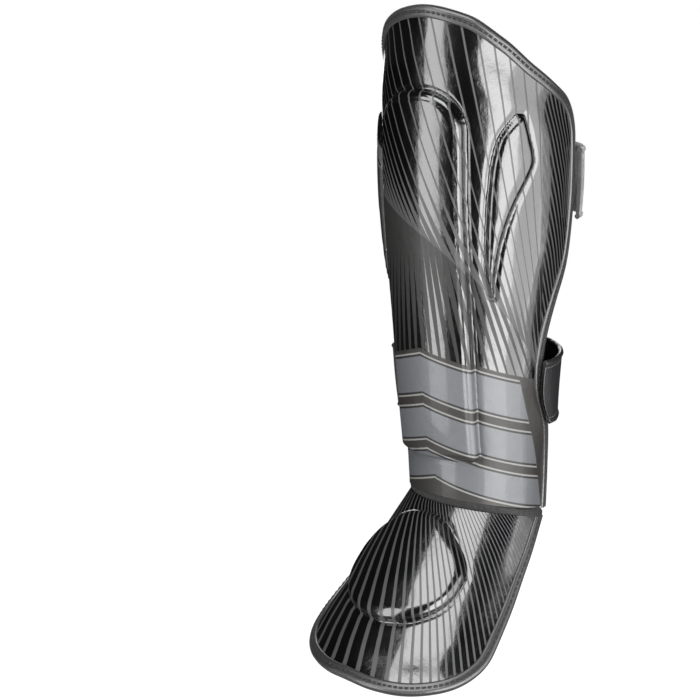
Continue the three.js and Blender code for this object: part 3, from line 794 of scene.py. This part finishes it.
# The flap's stripes meet above the ankle and spread to the toe, and stand closer on its right side.
STRIPES_X, STRIPES_Y, STRIPES_SPREAD, STRIPES_PITCH = -52.0, 85.0, 213.0, 12.8
BUNCH_FROM, BUNCH_REACH, BUNCH, FAR_FROM, FAR_BUNCH = 15.0, 50.0, 0.00076, 65.0, 0.076
STRIPES_SHIFT, STRIPE_THICK = 0.78, 0.15
flap_print = bpy.data.materials.new("printed_leather_flap")
tree, shader, x, y = pattern_of(flap_print)
at_toe = (x - STRIPES_X) / (STRIPES_Y - y) * STRIPES_SPREAD + STRIPES_X
bunch = (at_toe - BUNCH_FROM).at_least(0.0).at_most(BUNCH_REACH)
far_bunch = (at_toe - FAR_FROM).at_least(0.0)
stripe = at_toe / STRIPES_PITCH + bunch * bunch * BUNCH + far_bunch * FAR_BUNCH + STRIPES_SHIFT
stripes = (STRIPE_THICK - stripe.off_line()).above(0.0, 0.05)
leather_finish(tree, shader, inked(BLACK, LINE_GREY, stripes), stripes)
instep_cover = sheet_of("instep_cover", 200, 200, lay_flap)
instep_cover.data.materials.append(flap_print)
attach(instep_cover, "root")
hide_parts("instep_flap", "instep_pad")

# The flap's lining: the same lining cloth on its inner face, under foam that is thinner than the shell's.
# It is turned under the flap's tape as the shell's is.
FLAP_FOAM, FLAP_EDGE_FOAM = 11.0, 6.5
FLAP_LINING, FLAP_LINING_UP = 0.98, 0.005


def lay_flap_lining(across, up):
    x, y = flap_pattern(across * FLAP_LINING, FLAP_LINING_UP + up * FLAP_LINING)
    share = ease(distance_to(FLAP_EDGE, x, y), LINING_FLAT, FLAP_EDGE_RISEN)
    puffed = 0.15 * np.sin(x / 7.5) * np.sin(y / 10.0)
    depth = FLAP_EDGE_FOAM * (1 - share) + FLAP_FOAM * share
    return raised(on_flap, x, y, puffed - depth), np.stack((x, y), -1)


instep_lining = sheet_of("instep_lining", 80, 70, lay_flap_lining, inward=True)
instep_lining.data.materials.append(lining_cloth)
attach(instep_lining, "root")
0.94 * flat_area(flap_pattern)

# The flap's tape, the same weave and stitch as the shell's, round its sides and toe. It lies closer together,
# because it is folded round thinner foam.
FLAP_TAPE_DEPTH, FLAP_TAPE_UP = 0.86, 1.0
FLAP_TAPE_LEVELS = [level * FLAP_TAPE_DEPTH + FLAP_TAPE_UP for level in TAPE_LEVELS]
instep_tape = taped("instep_tape", on_flap, FLAP_EDGE, FLAP_TAPE_LEVELS)
instep_tape.data.materials.append(tape_weave)
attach(instep_tape, "root")
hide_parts("instep_binding")
instep_stitches = stitches("instep_stitches", on_flap, FLAP_EDGE, front=-0.4, back=-7.1)
instep_stitches.data.materials.append(thread_finish)
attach(instep_stitches, "root")

# The straps: two padded straps round the calf and a thin elastic one round the heel side of the ankle. Each
# is sewn to the right rear edge and closes on a hook patch at the left one. Each has its height up the leg
# and its width.
STRAP_PLACES = {"calf_strap": (224, 50), "shin_strap": (77, 50), "ankle_strap": (31, 36)}
PATCH_LENGTH, PATCH_THICKNESS, PATCH_MARGIN, TAPE_WIDTH = 20.0, 1.5, 3.0, 6.5
STRAP_GAP, STRAP_STITCH_PITCH = 0.7, 3.2


def wrap_at(level):
    """How far round the leg the shell's rear edge stands at a height."""
    hem, top = hem_height(WIDEST_WRAP), top_height(WIDEST_WRAP)
    return WIDEST_WRAP * eased(SHELL_HEIGHTS, SHELL_WRAPS, (level - hem) / (top - hem))


def strap_ends(height):
    """The leg's radius at a strap, and how far round the strap's left end lies."""
    radius = shell_radius(height)
    return radius, 2 * math.pi - wrap_at(height) + (PATCH_LENGTH + TAPE_WIDTH) / radius


def strap_section(width, hem):
    """Half of a strap's section, as places across it and levels in its thickness, with rolled hems."""
    section = []
    for across in np.linspace(-1, 1, 41):
        rolled = min(1, max(0, (1 - abs(across)) * width / 2 / hem))
        if rolled > 0.5:
            bead = math.sin(math.pi * rolled) ** 0.6 if rolled < 1 else 0
            level = max(0.74 + 0.1 * math.cos(across * math.pi / 2), 0.98 * bead)
        else:
            level = 0.5 + 0.48 * math.sqrt(1 - (1 - rolled * 2) ** 2)
        section.append((across, level))
    return section


def strap(name, finish, height, width, thickness, hem, sewn, pull, start_lift):
    """A strap as one closed loop: sewn under the right edge, pulled in at the calf, over the left patch."""
    radius, end = strap_ends(height)
    outer = strap_section(width, hem)
    across, level = np.array(outer + [(place, 1 - high) for place, high in outer[::-1]]).T
    z = height + across * width / 2
    start = wrap_at(z) - sewn / radius
    free = wrap_at(z) + TAPE_WIDTH / 2 / radius
    rings, patterns = [], []
    for turn in np.linspace(0, 1, 300):
        angle = start + (end - start) * turn
        part = np.clip((angle - free) / (2 * (math.pi - free)), 0, 1)
        lift = start_lift + (PATCH_THICKNESS + STRAP_GAP - start_lift) * ease(part, 0.06, 1)
        ripple = 0.12 * np.sin(angle * 37 + across * 2)
        lift = lift + (ripple - pull) * np.sin(part * math.pi) + level * thickness
        rings.append(raised(on_shell, angle * shell_radius(z), z, lift))
        flat = list(zip(angle * radius / 1000, across * width / 2000))
        patterns.append(flat + flat[:1])
    piece = swept(name, rings, patterns, closed=True)
    piece.data.materials.append(finish)
    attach(piece, "root")
    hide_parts(name.replace("_band", ""))
    return piece


def sewn_rows(x, y, inset):
    """Rows of stitches along both borders of a strap, from its flat pattern."""
    return y.size().within(inset, 0.35, 0.2) * (x / STRAP_STITCH_PITCH).step("FRACT").above(0.3, 0.1)


loop_pile = bpy.data.materials.new("loop_pile")
tree, shader, x, y = pattern_of(loop_pile)
fluff = mottle(tree, 900, 4) * 0.6 + mottle(tree, 160, 4) * 0.6
pile = inked((0.01, 0.01, 0.011), (0.045, 0.045, 0.048), fluff.above(0.62, 0.4))
hem_band = y.size().above(19.5, 0.6)
sewn = sewn_rows(x, y, 20.5)
pile = inked(inked(pile, (0.022, 0.022, 0.023), hem_band), (0.06, 0.06, 0.06), sewn)
tree.links.new(pile, shader.inputs["Base Color"])
tree.links.new((fluff * 0.1 + 0.75 - hem_band * 0.3).socket, shader.inputs["Roughness"])
shader.inputs["Sheen Weight"].default_value = 0.5
embossed(shader, fluff * 3.0 * (1.0 - hem_band) + (x * 6.0).wave() * hem_band * 0.3, 0.0005)

soft_leather = bpy.data.materials.new("soft_leather")
tree, shader, x, y = pattern_of(soft_leather)
crease = mottle(tree, 70, 5, (1, 1, 0.5))
sewn = sewn_rows(x, y, 19.5)
strap_colour = inked(inked((0.008, 0.008, 0.009), (0.016, 0.016, 0.017), crease), (0.07, 0.07, 0.07), sewn)
leather_finish(tree, shader, strap_colour, (crease * 0.5 + 0.3).at_least(sewn))

elastic = bpy.data.materials.new("ribbed_elastic")
tree, shader, x, y = pattern_of(elastic)
cords, picks = (y * 4.2).wave(), (x * 5.0).wave()
elastic_colour = inked((0.012, 0.012, 0.013), (0.035, 0.035, 0.037), cords * 0.4 + picks * 0.1 + 0.5)
tree.links.new(elastic_colour, shader.inputs["Base Color"])
tree.links.new((mottle(tree, 90) * 0.2 + 0.6).socket, shader.inputs["Roughness"])
embossed(shader, cords * 0.5 + picks * 0.2, 0.0003)

# What the padded straps and the thin one are like: their thickness, the width of their hems, how far forward
# of the rear edge they are sewn, and how far off the shell's face they start.
PADDED = {"thickness": 4, "hem": 5, "sewn": 4, "start_lift": 0.8}
THIN = {"thickness": 2.2, "hem": 2.5, "sewn": 12, "start_lift": -13.05}
calf_band = strap("calf_strap_band", loop_pile, *STRAP_PLACES["calf_strap"], pull=7, **PADDED)
shin_band = strap("shin_strap_band", soft_leather, *STRAP_PLACES["shin_strap"], pull=11, **PADDED)
ankle_band = strap("ankle_strap_band", elastic, *STRAP_PLACES["ankle_strap"], pull=6, **THIN)

# The hook patches: stiff woven tape with hooks, sewn on the shell's left rear edge under the strap's end.
# Their borders are trimmed thin.
PATCH_LEVEL, PATCH_TRIM, PATCH_BORDER, PATCH_END = 0.35, 0.97, 0.7, 0.75
hooks = bpy.data.materials.new("hook_tape")
tree, shader, x, y = pattern_of(hooks)
studs = (x * 4.0).wave() * (y * 4.0).wave()
hook_colour = inked((0.008, 0.008, 0.009), (0.04, 0.04, 0.042), studs.above(0.2, 0.5))
tree.links.new(hook_colour, shader.inputs["Base Color"])
tree.links.new((mottle(tree, 120) * 0.2 + 0.5).socket, shader.inputs["Roughness"])
embossed(shader, studs, 0.0004)
for name, (height, width) in STRAP_PLACES.items():
    radius, end = strap_ends(height)
    half = width / 2 - PATCH_MARGIN
    upper = [(across, 1 if abs(across) < PATCH_TRIM else PATCH_BORDER) for across in np.linspace(-1, 1, 21)]
    across, level = np.array(upper + [(place, 0.0) for place, high in upper[::-1]]).T
    rings, patterns = [], []
    for along in np.linspace(0, 1, 24):
        trim, high = (1, 1) if 0 < along < 1 else (PATCH_TRIM, PATCH_END)
        angle = end - (PATCH_MARGIN + PATCH_LENGTH * (1 - along)) / radius
        z = height + across * half * trim
        lift = PATCH_LEVEL + level * PATCH_THICKNESS * high
        rings.append(raised(on_shell, angle * shell_radius(z), z, lift))
        flat = [(angle * radius / 1000, place / 1000) for place in z]
        patterns.append(flat + flat[:1])
    patch = swept(f"{name}_hooks", rings, patterns, closed=True)
    patch.data.materials.append(hooks)
    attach(patch, "root")
    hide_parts(f"{name}_patch")
